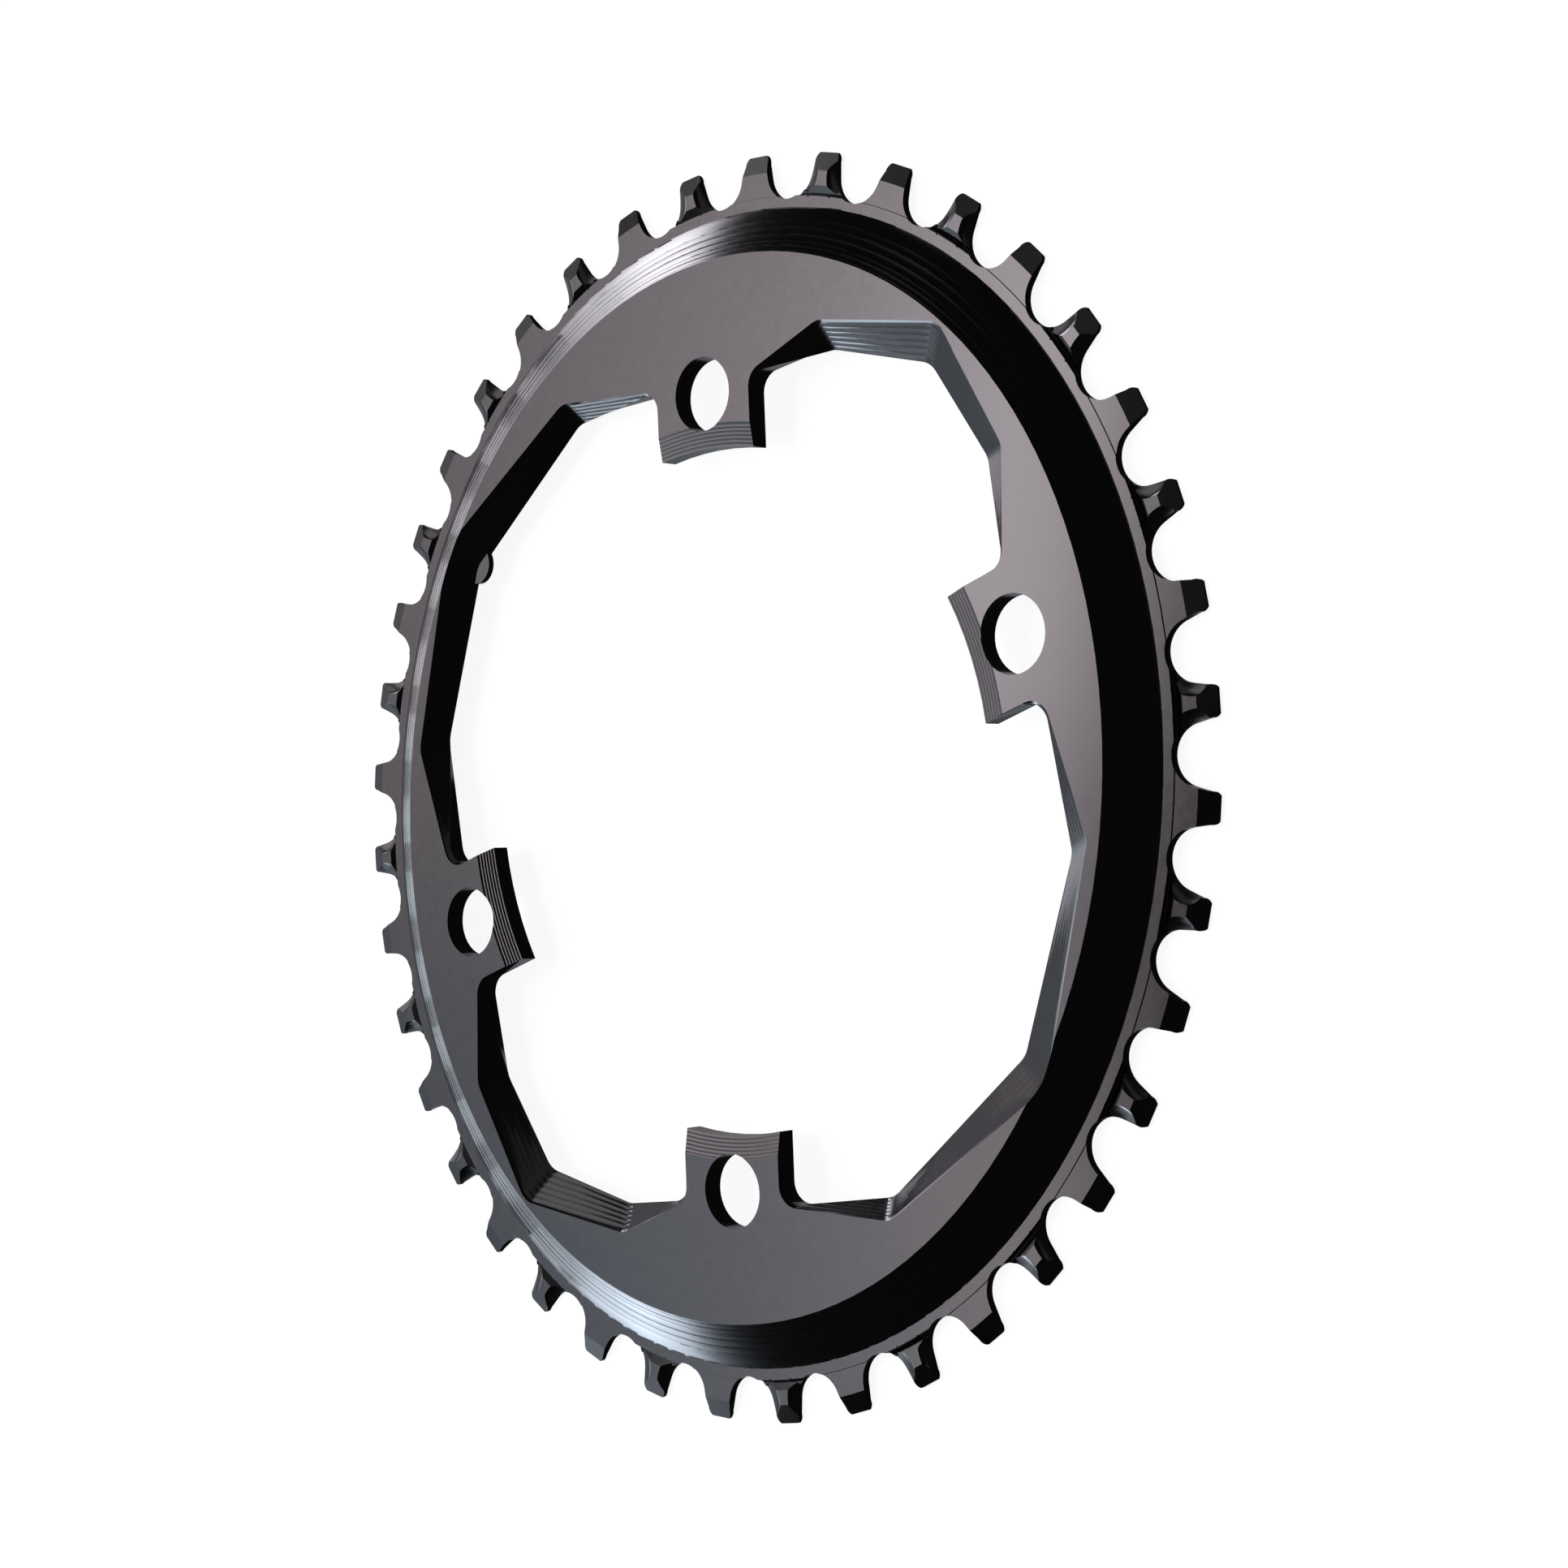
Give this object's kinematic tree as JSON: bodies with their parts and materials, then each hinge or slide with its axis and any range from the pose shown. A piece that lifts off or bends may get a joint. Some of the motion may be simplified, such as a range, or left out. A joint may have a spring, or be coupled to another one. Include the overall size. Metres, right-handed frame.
{
  "type": "oval bicycle chainring",
  "caption": "Oval one-piece bicycle chainring with narrow and wide teeth in turn, a sloping cone to a raised flat face, and tabs with bolt holes for a crank arm.",
  "frame": {"origin": "centre of the bolt circle, which is also the centre of the outline, in the plane of the back of the teeth", "axes": "+Z along the axle, from the back of the teeth to the raised face; X and Y along the long and short sides of the rectangle of the bolt holes"},
  "size_m": [0.1732, 0.1606, 0.005],
  "materials": {
    "anodised_black": "satin black anodised, machined"
  },
  "bodies": {
    "root": {"chainring": "anodised_black"}
  },
  "joints": []
}
